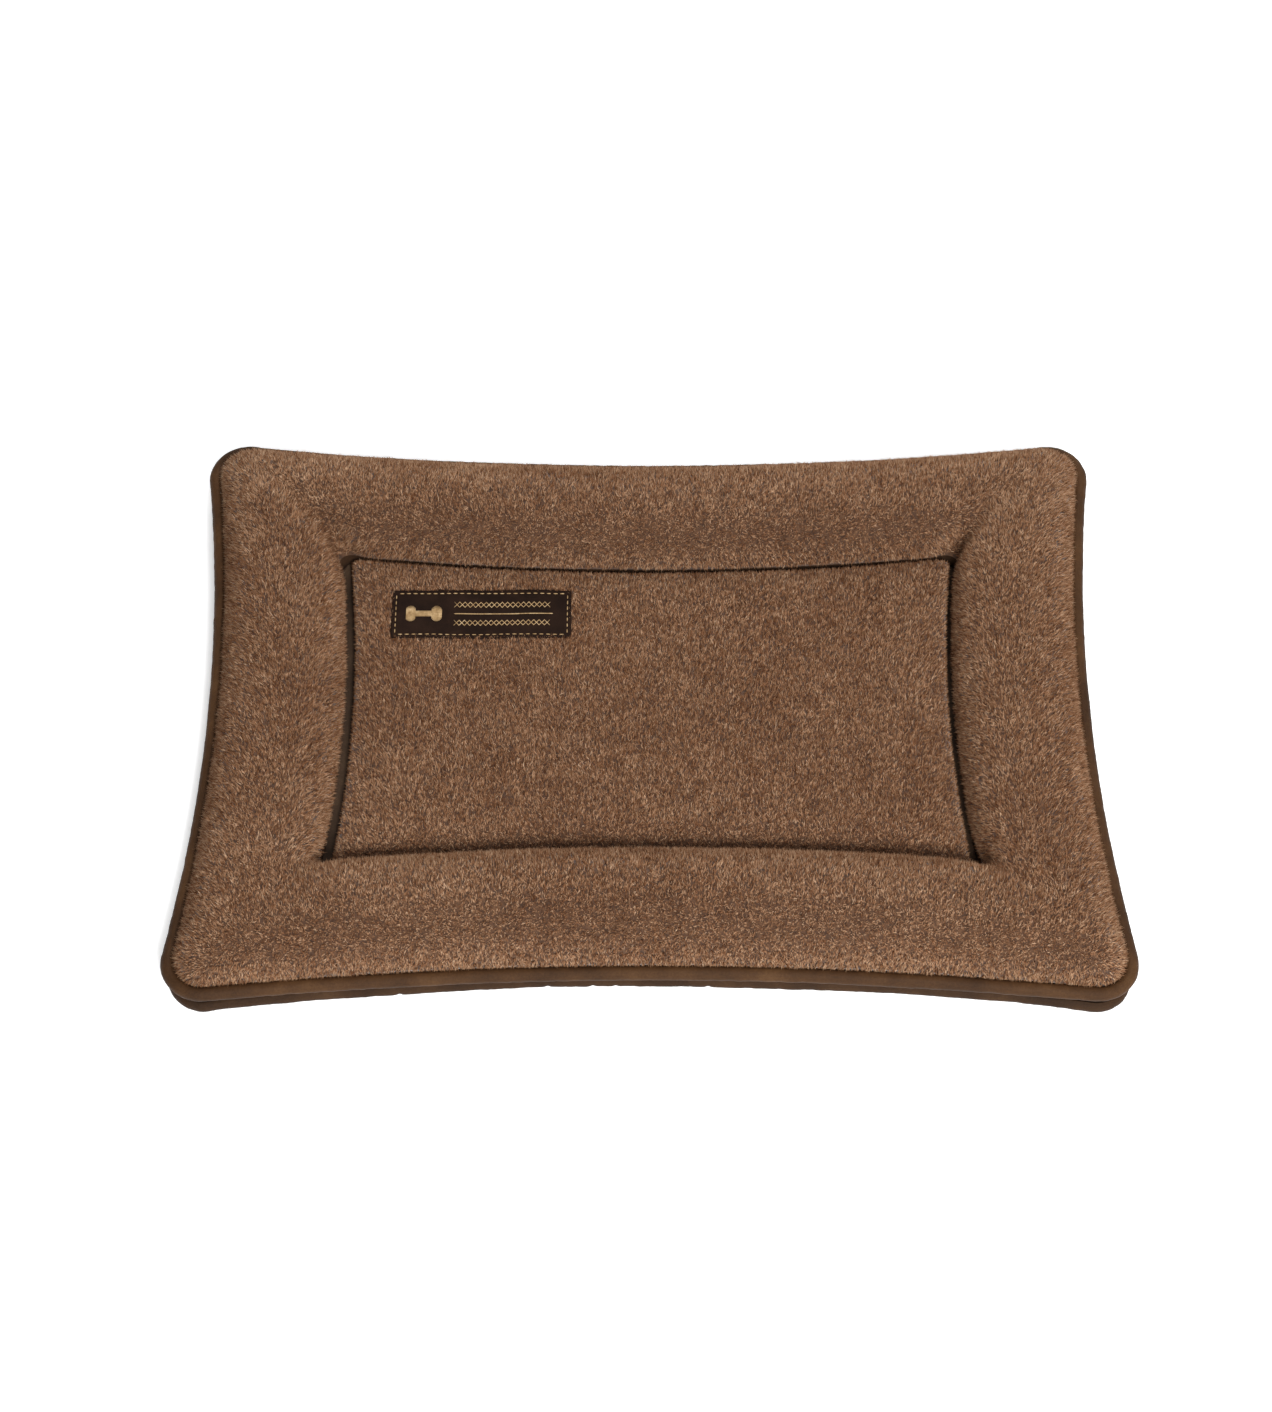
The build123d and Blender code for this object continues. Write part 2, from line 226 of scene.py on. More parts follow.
# Cloth with a fine weave, slow colour change and a bump of threads.
def clothMaterial(name, look):
    material, tree, shader = newMaterial(name)
    where = addNode(tree, "ShaderNodeTexCoord")
    patches = addNode(tree, "ShaderNodeTexNoise", Scale=look["patchScale"], Detail=4.0, Roughness=0.6)
    fine = addNode(tree, "ShaderNodeTexNoise", Scale=look["grainScale"], Detail=3.0, Roughness=0.7)
    mix = addNode(tree, "ShaderNodeMath", operation="MULTIPLY_ADD")
    mix.inputs[1].default_value = look["grainShare"]
    ramp = colourRamp(tree, [(0.30, look["dark"]), (0.55, look["middle"]), (0.80, look["light"])])
    tree.links.new(where.outputs["Object"], patches.inputs["Vector"])
    tree.links.new(where.outputs["Object"], fine.inputs["Vector"])
    shift = addNode(tree, "ShaderNodeMath", operation="SUBTRACT")
    shift.inputs[1].default_value = 0.5
    tree.links.new(fine.outputs["Fac"], shift.inputs[0])
    tree.links.new(shift.outputs[0], mix.inputs[0])
    tree.links.new(patches.outputs["Fac"], mix.inputs[2])
    tree.links.new(mix.outputs[0], ramp.inputs["Fac"])
    tree.links.new(ramp.outputs["Color"], shader.inputs["Base Color"])
    threads = []
    for direction in ("X", "Y", "Z"):
        wave = addNode(tree, "ShaderNodeTexWave", Scale=look["threadScale"], Distortion=0.6)
        wave.bands_direction = direction
        wave.inputs["Detail"].default_value = 1.0
        tree.links.new(where.outputs["Object"], wave.inputs["Vector"])
        threads.append(wave)
    crossing = addNode(tree, "ShaderNodeMath", operation="ADD")
    third = addNode(tree, "ShaderNodeMath", operation="ADD")
    tree.links.new(threads[0].outputs["Fac"], crossing.inputs[0])
    tree.links.new(threads[1].outputs["Fac"], crossing.inputs[1])
    tree.links.new(crossing.outputs[0], third.inputs[0])
    tree.links.new(threads[2].outputs["Fac"], third.inputs[1])
    bump = addNode(tree, "ShaderNodeBump", Strength=look["bump"], Distance=look["bumpDepth"])
    tree.links.new(third.outputs[0], bump.inputs["Height"])
    tree.links.new(bump.outputs["Normal"], shader.inputs["Normal"])
    shader.inputs["Roughness"].default_value = look["roughness"]
    shader.inputs["Sheen Weight"].default_value = look["sheen"]
    shader.inputs["Sheen Roughness"].default_value = 0.4
    shader.inputs["Sheen Tint"].default_value = linear(look["light"])
    shader.inputs["Specular IOR Level"].default_value = look["gloss"]
    return material


pipingLook = {
    "dark": (50, 31, 15), "middle": (69, 45, 24), "light": (88, 61, 35),
    "patchScale": 26.0, "grainScale": 900.0, "grainShare": 0.5, "threadScale": 420.0,
    "bump": 0.25, "bumpDepth": 0.0003, "roughness": 0.65, "sheen": 0.0, "gloss": 0.15,
}


# A cloth that differs from the piping's only in what is given.
def cloth(name, **changes):
    return clothMaterial(name, {**pipingLook, **changes})


pipingCloth = cloth("pipingCloth")
bandCloth = cloth("bandCloth", dark=(40, 29, 20), middle=(58, 43, 31), light=(80, 62, 46), roughness=0.8)
lowerCloth = cloth("lowerCloth", dark=(44, 27, 13), middle=(60, 39, 21), light=(78, 54, 31))
# Near-black cloth that stands in for shadow: painted shade, laid on the piping faces that look into the gap
# between the two pipings.
paintedShadeCloth = cloth("paintedShadeCloth", dark=(20, 13, 8), middle=(30, 20, 12), light=(42, 29, 19),
                  roughness=0.9, gloss=0.05)
baseCloth = cloth("baseCloth", dark=(60, 48, 38), middle=(78, 64, 52), light=(98, 84, 70),
                  roughness=0.85, sheen=0.15)
liningCloth = cloth("liningCloth", dark=(205, 202, 194), middle=(222, 219, 211), light=(236, 233, 226),
                    roughness=0.9)
labelCloth = cloth("labelCloth", dark=(23, 13, 8), middle=(33, 20, 13), light=(43, 28, 20),
                   patchScale=60.0, grainScale=1500.0, roughness=0.85, bump=0.4, sheen=0.03, gloss=0.1)
wadding = cloth("wadding", dark=(222, 222, 218), middle=(236, 236, 233), light=(247, 247, 245),
                roughness=1.0, bump=0.6, threadScale=60.0, bumpDepth=0.002)
foam = cloth("foam", dark=(204, 194, 160), middle=(222, 213, 181), light=(236, 229, 204),
             roughness=0.95, grainScale=2200.0)
tapeCloth = cloth("zipTapeCloth", dark=(38, 27, 19), middle=(54, 40, 29), light=(72, 56, 42),
                  roughness=0.75)
fillerCord = cloth("fillerCord", dark=(200, 192, 172), middle=(218, 211, 193), light=(232, 226, 212),
                   roughness=0.95)
labelYarn = cloth("labelYarn", dark=(142, 112, 74), middle=(178, 148, 106), light=(212, 186, 146),
                  roughness=0.5, patchScale=300.0)
# Near-black backing cloth for the bare faces in the groove round the panel: painted shade, standing in for
# the groove's shadow.
grooveShadeCloth = cloth("grooveShadeCloth", dark=(38, 24, 14), middle=(50, 33, 20), light=(64, 43, 27),
                    roughness=0.95)
seamYarn = cloth("seamYarn", dark=(36, 24, 15), middle=(50, 35, 24), light=(66, 50, 36), roughness=0.8)


def metalMaterial(name, look):
    material, tree, shader = newMaterial(name)
    where = addNode(tree, "ShaderNodeTexCoord")
    wear = addNode(tree, "ShaderNodeTexNoise", Scale=look["wearScale"], Detail=5.0)
    ramp = colourRamp(tree, [(0.35, look["dark"]), (0.65, look["light"])])
    rough = addNode(tree, "ShaderNodeMapRange")
    rough.inputs["To Min"].default_value = look["smooth"]
    rough.inputs["To Max"].default_value = look["rough"]
    bump = addNode(tree, "ShaderNodeBump", Strength=0.12, Distance=0.0002)
    tree.links.new(where.outputs["Object"], wear.inputs["Vector"])
    tree.links.new(wear.outputs["Fac"], ramp.inputs["Fac"])
    tree.links.new(wear.outputs["Fac"], rough.inputs["Value"])
    tree.links.new(wear.outputs["Fac"], bump.inputs["Height"])
    tree.links.new(ramp.outputs["Color"], shader.inputs["Base Color"])
    tree.links.new(rough.outputs["Result"], shader.inputs["Roughness"])
    tree.links.new(bump.outputs["Normal"], shader.inputs["Normal"])
    shader.inputs["Metallic"].default_value = look["metallic"]
    return material


zipMetal = metalMaterial("zipMetal", {"dark": (96, 100, 108), "light": (132, 138, 148), "wearScale": 420.0,
                                      "smooth": 0.28, "rough": 0.5, "metallic": 1.0})
magnetMetal = metalMaterial("magnetMetal", {"dark": (62, 62, 64), "light": (84, 84, 88), "wearScale": 260.0,
                                            "smooth": 0.5, "rough": 0.75, "metallic": 0.8})
coilNylon = metalMaterial("zipCoilNylon", {"dark": (44, 32, 24), "light": (66, 50, 38), "wearScale": 300.0,
                                           "smooth": 0.35, "rough": 0.55, "metallic": 0.0})


# The backing's root colour is painted shade: the backing is darkened so the gaps between strands look
# shadowed.
plushGround = {"root": (56, 35, 20), "middle": (80, 53, 33), "tip": (104, 73, 48), "clumpScale": 260.0}
pileLook = {
    "tones": [(80, 48, 26), (112, 73, 45), (140, 98, 68), (165, 125, 93), (187, 148, 115), (207, 172, 140)],
    "roughness": 0.9, "sheen": 0.2, "density": 1.45,  # strands on each square millimetre
    "length": 3.9, "lengthSpread": 0.24, "halfWidth": 0.31, "lean": 33.0, "leanSpread": 15.0,
    "clump": 1.9, "gather": 0.45, "sink": 0.5, "swirl": 0.9, "swirlSize": 16.0, "stray": 1.9,
    "leanLimits": (0.1, 1.35), "sizeLimits": (0.5, 1.6), "widthSpread": 0.3, "turnShare": 0.3,
    "toneMiddle": 0.445, "toneEnds": 0.12, "endReach": 200.0, "tonePatch": 0.07,
    "strandSpread": 0.23, "clumpSpread": 0.09,
    "seamHeight": 15.0, "seamRise": 12.0, "seamLeast": 0.3,
}


# The backing cloth under the pile: dark at the roots, painted shade so that the gaps between strands read
# as shadow, with knitted lumps.
def plushGroundMaterial(look):
    material, tree, shader = newMaterial("plushGround")
    where = addNode(tree, "ShaderNodeTexCoord")
    lumps = addNode(tree, "ShaderNodeTexNoise", Scale=look["clumpScale"], Detail=4.0, Roughness=0.6)
    ramp = colourRamp(tree, [(0.30, look["root"]), (0.52, look["middle"]), (0.75, look["tip"])])
    bump = addNode(tree, "ShaderNodeBump", Strength=0.8, Distance=0.0012)
    tree.links.new(where.outputs["Object"], lumps.inputs["Vector"])
    tree.links.new(lumps.outputs["Fac"], ramp.inputs["Fac"])
    tree.links.new(lumps.outputs["Fac"], bump.inputs["Height"])
    tree.links.new(ramp.outputs["Color"], shader.inputs["Base Color"])
    tree.links.new(bump.outputs["Normal"], shader.inputs["Normal"])
    shader.inputs["Roughness"].default_value = 0.95
    shader.inputs["Sheen Weight"].default_value = 0.4
    shader.inputs["Sheen Roughness"].default_value = 0.5
    return material


# One plain material for each tone of strand; the mix of strands makes the colour change.
def pileMaterials(look):
    made = []
    for i, tone in enumerate(look["tones"]):
        material, _, shader = newMaterial(f"pileTone{i}")
        shader.inputs["Base Color"].default_value = linear(tone)
        shader.inputs["Roughness"].default_value = look["roughness"]
        shader.inputs["Sheen Weight"].default_value = look["sheen"]
        shader.inputs["Sheen Roughness"].default_value = 0.35
        shader.inputs["Sheen Tint"].default_value = linear(tone)
        shader.inputs["Specular IOR Level"].default_value = 0.25
        made.append(material)
    return made


groundCloth = plushGroundMaterial(plushGround)
pileTones = pileMaterials(pileLook)


# Blows a sheet up with cloth simulation, its pinned points held, and returns the new points.
def inflate(name, points, quads, pinned, look):
    mesh = bpy.data.meshes.new(name)
    mesh.from_pydata((points * mm).tolist(), [], quads.tolist())
    trial = bpy.data.objects.new(name, mesh)
    bpy.context.scene.collection.objects.link(trial)
    held = trial.vertex_groups.new(name="held")
    held.add([int(i) for i in np.nonzero(pinned)[0]], 1.0, "REPLACE")
    cloth = trial.modifiers.new("cloth", "CLOTH")
    settings = cloth.settings
    settings.vertex_group_mass = "held"
    settings.quality = look["quality"]
    settings.mass = look["mass"]
    settings.use_pressure = True
    settings.uniform_pressure_force = look["pressure"]
    settings.tension_stiffness = look["stretch"]
    settings.compression_stiffness = look["stretch"]
    settings.shear_stiffness = look["shear"]
    settings.bending_stiffness = look["bend"]
    settings.effector_weights.gravity = 0
    cloth.collision_settings.use_collision = False
    scene = bpy.context.scene
    for step in range(1, look["steps"] + 1):
        scene.frame_set(step)
    shaped = trial.evaluated_get(bpy.context.evaluated_depsgraph_get()).to_mesh()
    out = np.empty(len(points) * 3, np.float32)
    shaped.vertices.foreach_get("co", out)
    moved = out.reshape(-1, 3) / mm - points
    bpy.data.objects.remove(trial)
    scene.frame_set(1)
    far = np.linalg.norm(moved, axis=1, keepdims=True)
    print(name, "moved up to", round(float(far.max()), 2), "mm, mean", round(float(far.mean()), 2))
    return points + moved * np.minimum(1, look["cap"] / np.maximum(far, 1e-9))


borderLook = {
    "outerInset": 9.6, "outerHeight": 24.4, "innerHeight": 16.4, "rise": 35.0, "columns": 36,
    "wallOut": 1.1, "wallIn": 0.55, "roundOut": 0.92, "roundIn": 0.72,  # smaller is steeper
    "bareColumns": 3, "under": 15.9, "underParts": (0.97, 0.75, 0.5, 0.3),
    "ledgeInset": 14.6, "ledgeHeight": 22.9,
    "quality": 6, "mass": 0.3, "pressure": 4.0, "stretch": 12.0, "shear": 6.0, "bend": 2.0,
    "steps": 20, "cap": 8.0,
    "wave": 1.1, "waveSize": 70.0, "pucker": 0.5, "puckerSize": 14.0,
    "puckerInner": 0.12, "puckerOuter": 0.10, "creaseRows": 40,
}
# Soft creases that run out from the panel's corners: right front, right back, left back, left front.
creases = [
    {"depth": 9.0, "reach": 0.55, "width": 8.0},
    {"depth": 9.0, "reach": 0.80, "width": 7.0},
    {"depth": 9.5, "reach": 0.85, "width": 7.0},
    {"depth": 6.0, "reach": 0.45, "width": 7.0},
]


# The border before it is blown up: a closed ring of cross-sections, top columns first.
def borderStart(look):
    outer = planRing(bedPlan, look["outerInset"])[:, None, :]
    inner = planRing(seamPlan, 0)[:, None, :]
    t = np.linspace(0, 1, look["columns"] + 1)
    c = np.cos(math.pi * t)
    across = (1 - np.sign(c) * np.abs(c) ** np.where(t < 0.5, look["wallOut"], look["wallIn"])) / 2
    xy = outer + (inner - outer) * across[None, :, None]
    edge = look["outerHeight"] + (look["innerHeight"] - look["outerHeight"]) * t
    z = edge + look["rise"] * np.sin(math.pi * t) ** np.where(t < 0.5, look["roundOut"], look["roundIn"])
    top = np.concatenate([xy, np.broadcast_to(z[None, :, None], xy.shape[:2] + (1,))], 2)
    flats = [(outer + (inner - outer) * part)[:, 0] for part in look["underParts"]]
    flats += [planRing(bedPlan, look["ledgeInset"])] * 2
    heights = [look["under"]] * (len(flats) - 1) + [look["ledgeHeight"]]
    under = [np.column_stack([flat, np.full(len(flat), z)])[:, None, :] for flat, z in zip(flats, heights)]
    return np.concatenate([top] + under, 1)


# The border's cross-sections after inflation, with its creases, soft dents and seam puckers.
def shapedBorder(look):
    start = borderStart(look)
    rows, columns = start.shape[:2]
    pinned = np.ones((rows, columns), bool)
    pinned[:, 1:look["columns"]] = False
    quads = ringQuads(rows, columns, True)
    grid = inflate("borderTrial", start.reshape(-1, 3), quads, pinned.ravel(), look).reshape(start.shape)
    top = grid[:, :look["columns"] + 1]
    normals = gridNormals(top, True)
    t = np.linspace(0, 1, look["columns"] + 1)[None, :]
    free = np.sin(math.pi * t)
    flat = top.reshape(-1, 3)
    dents = latticeNoise(flat, look["waveSize"], 3) + 0.5 * latticeNoise(flat, look["waveSize"] / 2.3, 5)
    push = look["wave"] * dents.reshape(top.shape[:2]) * free
    nearSeam = np.exp(-(((1 - t) / look["puckerInner"]) ** 2)) + np.exp(-((t / look["puckerOuter"]) ** 2))
    puckers = latticeNoise(flat, look["puckerSize"], 7).reshape(top.shape[:2])
    push += look["pucker"] * puckers * nearSeam * np.minimum(1, free * 6)
    quarter = rows // 4
    cornerRow = ringSteps["long"] + ringSteps["corner"] / 2
    centres = [cornerRow, 2 * quarter - cornerRow, 2 * quarter + cornerRow, 4 * quarter - cornerRow]
    for crease, row in zip(creases, centres):
        here = top[int(round(row)) % rows]
        line = here[-1] - here[0]
        side = np.array([-line[1], line[0], 0]) / np.linalg.norm(line[:2])
        offset = np.abs(((top - here[-1]) * side).sum(2))
        rowGap = np.abs((np.arange(rows) - row + rows / 2) % rows - rows / 2)[:, None]
        along = np.clip((1 - t) / crease["reach"], 0, 1)
        fade = np.cos(along * math.pi / 2) ** 2 * np.minimum(1, (1 - t) * 12)
        dent = np.exp(-((offset / crease["width"]) ** 2)) * fade * (rowGap < look["creaseRows"])
        push -= crease["depth"] * dent
    grid[:, :look["columns"] + 1] = top + normals * push[..., None]
    return grid


# Tapered strands of pile, gathered into small clumps at their tips, shorter down in the seams.
def growPile(name, roots, normals, look, seed):
    draw = np.random.default_rng(seed)
    count = len(roots)
    swirl = look["swirl"] * latticeNoise(roots, look["swirlSize"], seed + 1)
    lay = np.column_stack([np.sin(swirl), np.cos(swirl), np.zeros(count)])
    lay += look["stray"] * draw.standard_normal((count, 3))
    lay -= normals * (lay * normals).sum(1, keepdims=True)
    lay /= np.linalg.norm(lay, axis=1, keepdims=True) + 1e-9
    lean = np.radians(look["lean"] + look["leanSpread"] * draw.standard_normal(count))
    lean = np.clip(lean, *look["leanLimits"])[:, None]
    spread = 1 + look["lengthSpread"] * draw.standard_normal(count)
    reach = look["length"] * np.clip(spread, *look["sizeLimits"])
    reach *= np.clip((roots[:, 2] - look["seamHeight"]) / look["seamRise"], look["seamLeast"], 1)
    way = normals * np.cos(lean) + lay * np.sin(lean)
    tips = roots + way * reach[:, None]
    jitter = latticeNoise(roots, 5.0, seed + 2)[:, None] * look["clump"] * 0.5
    cells = np.floor((roots + jitter) / look["clump"]).astype(np.int64)
    keys = (cells * hashPrimes).sum(1)
    _, clump = np.unique(keys, return_inverse=True)
    size = np.bincount(clump)
    middle = np.stack([np.bincount(clump, tips[:, k]) / size for k in range(3)], 1)
    tips += (middle[clump] - tips) * look["gather"]
    way = tips - roots
    way /= np.linalg.norm(way, axis=1, keepdims=True)
    sideA = np.cross(way, normals + look["turnShare"] * lay)
    sideA /= np.linalg.norm(sideA, axis=1, keepdims=True) + 1e-9
    sideB = np.cross(way, sideA)
    spread = 1 + look["widthSpread"] * draw.standard_normal(count)
    half = look["halfWidth"] * np.clip(spread, *look["sizeLimits"])
    base = roots - normals * look["sink"]
    points = np.empty((count, 4, 3))
    for k in range(3):
        turn = 2 * math.pi * k / 3
        points[:, k] = base + half[:, None] * (sideA * math.cos(turn) + sideB * math.sin(turn))
    points[:, 3] = tips
    first = np.arange(count)[:, None] * 4
    faces = np.concatenate([first + f for f in ([0, 1, 3], [1, 2, 3], [2, 0, 3], [0, 2, 1])], 1)
    faces = faces.reshape(-1, 3)
    patches = latticeNoise(roots, 55.0, 11) + latticeNoise(roots, 9.0, 12)
    ends = (roots[:, 1] / look["endReach"]) ** 2  # front and back catch more light on their tips
    tone = look["toneMiddle"] + look["toneEnds"] * ends + look["tonePatch"] * patches
    tone += look["strandSpread"] * draw.standard_normal(count)
    tone += look["clumpSpread"] * draw.standard_normal(len(size))[clump]
    last = len(look["tones"]) - 1
    tones = np.repeat(np.clip(np.round(tone * last), 0, last).astype(int), 4)
    addMesh(name, points, [faces], pileTones, tones)
    print(name, count, "strands")


# Random places on a grid's surface, even by area, with the normal at each.
def scatter(grid, closedRows, perArea, seed):
    draw = np.random.default_rng(seed)
    ahead = np.roll(grid, -1, 0) if closedRows else grid[1:]
    here = grid if closedRows else grid[:-1]
    a, b, c, d = here[:, :-1], ahead[:, :-1], ahead[:, 1:], here[:, 1:]
    area = np.linalg.norm(np.cross(c - a, d - b), axis=2) / 2
    normals = gridNormals(grid, closedRows)
    total = int(area.sum() * perArea)
    chosen = draw.choice(area.size, total, p=(area / area.sum()).ravel())
    i, j = np.unravel_index(chosen, area.shape)
    u, v = draw.random((2, total, 1))
    roots = (a[i, j] * (1 - u) + b[i, j] * u) * (1 - v) + (d[i, j] * (1 - u) + c[i, j] * u) * v
    return roots, normals[i, j]


border = shapedBorder(borderLook)
topColumns = borderLook["columns"] + 1
fineTop = refine(border[:, :topColumns], True)[: 2 * ringCount]
fineUnder = refine(border[:, topColumns:], True)[: 2 * ringCount, ::2]
borderFull = np.concatenate([fineTop, fineUnder], 1)
# the last strips before the inner seam are bare cloth, as the pile is sewn in there; they get the
# near-black groove cloth, which is painted shade for the deep groove
columnOf = np.tile(np.arange(borderFull.shape[1]), len(borderFull))
bareShadedStrip = (columnOf >= fineTop.shape[1] - borderLook["bareColumns"]) & (columnOf < fineTop.shape[1])
borderCover = addMesh("borderCover", borderFull, [ringQuads(len(borderFull), borderFull.shape[1], True)],
                      [groundCloth, grooveShadeCloth], bareShadedStrip)
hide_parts("border_cover")
print("border cover made")


def shrunk(grid, normals, depth):
    return grid - normals * depth


borderFillLook = {"gap": 3.0, "lift": 1.0}
fillTop = shrunk(fineTop, gridNormals(fineTop, True), borderFillLook["gap"])[::2, 2:-2:2]
fillUnder = fineUnder[::2].copy()
fillUnder[..., 2] += borderFillLook["lift"]
fillRing = np.concatenate([fillTop, fillUnder[:, :-1]], 1)
borderStuffing = addMesh("borderStuffing", fillRing, [ringQuads(len(fillRing), fillRing.shape[1], True)],
                         [wadding])
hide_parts("border_fill")

panelLook = {
    "columns": 121, "rows": 71, "gapX": 5.6, "gapY": 1.4, "shift": 1.2,
    "edgeHeight": 17.0, "crown": 9.2, "edgeRound": 2.6,
    "bareHeight": 20.0, "bunch": 1.25,  # how strongly the grid's lines crowd towards the edges, in radians
    "quality": 6, "mass": 0.3, "pressure": 0.8, "stretch": 12.0, "shear": 6.0, "bend": 3.0,
    "steps": 20, "cap": 2.5, "wave": 0.7, "waveSize": 60.0, "under": 16.1,
    "skin": 2.2, "padFloor": 0.2, "padLeast": 0.6,
}


# The point of the panel at u, v, each from -1 to 1 between its pulled-in sides.
def panelPlace(u, v):
    x = u * (seamPlan["width"] / 2 - panelLook["gapX"] - seamPlan["pullShort"] * (1 - v * v))
    y = v * (seamPlan["depth"] / 2 - panelLook["gapY"] - seamPlan["pullLong"] * (1 - u * u))
    return x, y


# Even steps from -1 to 1 turned into steps that crowd towards both ends.
def bunched(steps):
    return np.sin(panelLook["bunch"] * steps) / math.sin(panelLook["bunch"])


# The middle panel: flat where the pad lies, round at its sewn edge, slightly crowned.
def shapedPanel(look):
    steps = [bunched(np.linspace(-1, 1, count)) for count in (look["columns"], look["rows"])]
    u, v = np.meshgrid(*steps, indexing="ij")
    x, y = panelPlace(u, v)
    edgeX, _ = panelPlace(np.ones_like(u), v)
    _, edgeY = panelPlace(u, np.ones_like(v))
    inFromX, inFromY = edgeX - np.abs(x), edgeY - np.abs(y)
    rise = (1 - np.exp(-inFromX / look["edgeRound"])) * (1 - np.exp(-inFromY / look["edgeRound"]))
    z = look["edgeHeight"] + look["crown"] * rise
    grid = np.stack([x + look["shift"], y, z], -1)
    edge = np.ones(u.shape, bool)
    edge[1:-1, 1:-1] = False
    quads = gridQuads(*u.shape)
    grid = inflate("panelTrial", grid.reshape(-1, 3), quads, edge.ravel(), look).reshape(grid.shape)
    dents = latticeNoise(grid.reshape(-1, 3), look["waveSize"], 21).reshape(u.shape)
    grid[..., 2] += look["wave"] * dents * rise
    return grid


# Points and faces of a closed slab from a top grid down to a flat underside.
def closedSlab(top, height):
    rows, columns = top.shape[:2]
    low = top.copy()
    low[..., 2] = height
    points = np.concatenate([top.reshape(-1, 3), low.reshape(-1, 3)])
    quads = gridQuads(rows, columns)
    index = np.arange(rows * columns).reshape(rows, columns)
    rim = np.concatenate([index[:, 0], index[-1, 1:], index[-2::-1, -1], index[0, -2:0:-1]])
    after = np.roll(rim, -1)
    sides = np.stack([rim, rim + rows * columns, after + rows * columns, after], 1)
    return points, [quads, quads[:, ::-1] + rows * columns, sides]


panel = shapedPanel(panelLook)
finePanel = refine(panel, False)
panelPoints, panelFaces = closedSlab(finePanel, panelLook["under"])
# Faces of the panel below bareHeight, with its sides and underside, get the near-black groove cloth:
# painted shade for the groove.
topHeights = panelPoints[panelFaces[0]][..., 2].mean(1)
bareShadedFaces = np.ones(sum(len(faces) for faces in panelFaces))
bareShadedFaces[:len(topHeights)] = topHeights < panelLook["bareHeight"]
centrePanel = addMesh("centrePanel", panelPoints, panelFaces, [groundCloth, grooveShadeCloth], bareShadedFaces)
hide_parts("centre_panel")
padTop = shrunk(panel, gridNormals(panel, False), panelLook["skin"])[2:-2, 2:-2]
padTop[..., 2] = np.maximum(padTop[..., 2], panelLook["under"] + panelLook["padLeast"])
padPoints, padFaces = closedSlab(padTop, panelLook["under"] + panelLook["padFloor"])
centrePadding = addMesh("centrePadding", padPoints, padFaces, [wadding])
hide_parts("centre_pad")
print("centre panel made")

labelLook = {
    "x": -110.0, "y": 68.0, "width": 118.0, "depth": 37.0, "thickness": 0.8, "lift": 1.6,
    "wobble": 0.5, "wobbleSize": 17.0, "columns": 160, "rows": 48, "ragged": 0.35, "raggedSize": 9.0,
    "stitchInset": 2.6, "stitchLength": 2.7, "stitchPitch": 4.4, "yarn": 0.34,
    "seamDip": 0.30, "seamWidth": 1.1, "hemDip": 0.25, "hemWidth": 1.2, "pileMargin": -0.6,
}


def underLabel(points, margin):
    return ((np.abs(points[:, 0] - labelLook["x"]) < labelLook["width"] / 2 + margin)
            & (np.abs(points[:, 1] - labelLook["y"]) < labelLook["depth"] / 2 + margin))


# The pile of one cloth, in pieces small enough to keep every strand.
def growCloth(names, roots, normals, part, seed):
    for i, name in enumerate(names):
        growPile(name, roots[part == i], normals[part == i], pileLook, seed + i)


def growBorderPile():
    roots, normals = scatter(fineTop[:, :-borderLook["bareColumns"]], True, pileLook["density"], 31)
    onEnds = np.abs(roots[:, 0]) / (bedPlan["width"] / 2) > np.abs(roots[:, 1]) / (bedPlan["depth"] / 2)
    part = 4 * onEnds + 2 * (roots[:, 1] > 0) + (roots[:, 0] > 0)
    growCloth(("pileFrontLeft", "pileFrontRight", "pileBackLeft", "pileBackRight", "pileLeftFront",
               "pileRightFront", "pileLeftBack", "pileRightBack"), roots, normals, part, 41)


def growPanelPile():
    roots, normals = scatter(finePanel, False, pileLook["density"], 51)
    free = ~underLabel(roots, labelLook["pileMargin"]) & (roots[:, 2] > panelLook["bareHeight"])
    roots, normals = roots[free], normals[free]
    part = 2 * (roots[:, 1] > 0) + (roots[:, 0] > 0)
    growCloth(("panelPileFrontLeft", "panelPileFrontRight", "panelPileBackLeft", "panelPileBackRight"),
              roots, normals, part, 61)


growBorderPile()
growPanelPile()


# A closed path along the bed's edge with the small unevenness of a sewn piping.
def ringPath(look):
    flat = planRing(bedPlan, look["inset"])[:, None, :].repeat(2, 1)
    flat = refine(refine(flat, True), True)[:, 0]
    path = np.column_stack([flat, np.full(len(flat), look["height"])])
    ahead = np.roll(path, -1, 0) - np.roll(path, 1, 0)
    ahead /= np.linalg.norm(ahead, axis=1, keepdims=True)
    out = np.column_stack([ahead[:, 1], -ahead[:, 0], np.zeros(len(path))])
    corner = np.minimum(1, np.abs(path[:, 0]) / (bedPlan["width"] / 2)) ** 6
    corner *= np.minimum(1, np.abs(path[:, 1]) / (bedPlan["depth"] / 2)) ** 4
    rise = look["wander"] * latticeNoise(path, 90.0, look["seed"]) + look["cornerLift"] * corner
    rise += look["ripple"] * latticeNoise(path, 16.0, look["seed"] + 1)
    sway = look["wander"] * latticeNoise(path, 70.0, look["seed"] + 2)
    sway += look["ripple"] * latticeNoise(path, 22.0, look["seed"] + 3) + look["cornerOut"] * corner
    path = path + out * sway[:, None]
    path[:, 2] += rise
    return path, out, corner


# A closed tube along a ring path, with one radius for each of its points and sides.
def tubeMesh(name, path, out, radius, sides, materials, tones=None):
    turn = np.arange(sides) / sides * 2 * math.pi
    radii = np.broadcast_to(radius, (len(path), sides))
    ring = out[:, None, :] * np.cos(turn)[None, :, None]
    ring = ring + np.array([0, 0, 1.0]) * np.sin(turn)[None, :, None]
    points = path[:, None, :] + ring * radii[..., None]
    return addMesh(name, points, [ringQuads(len(path), sides, True)], materials, tones)


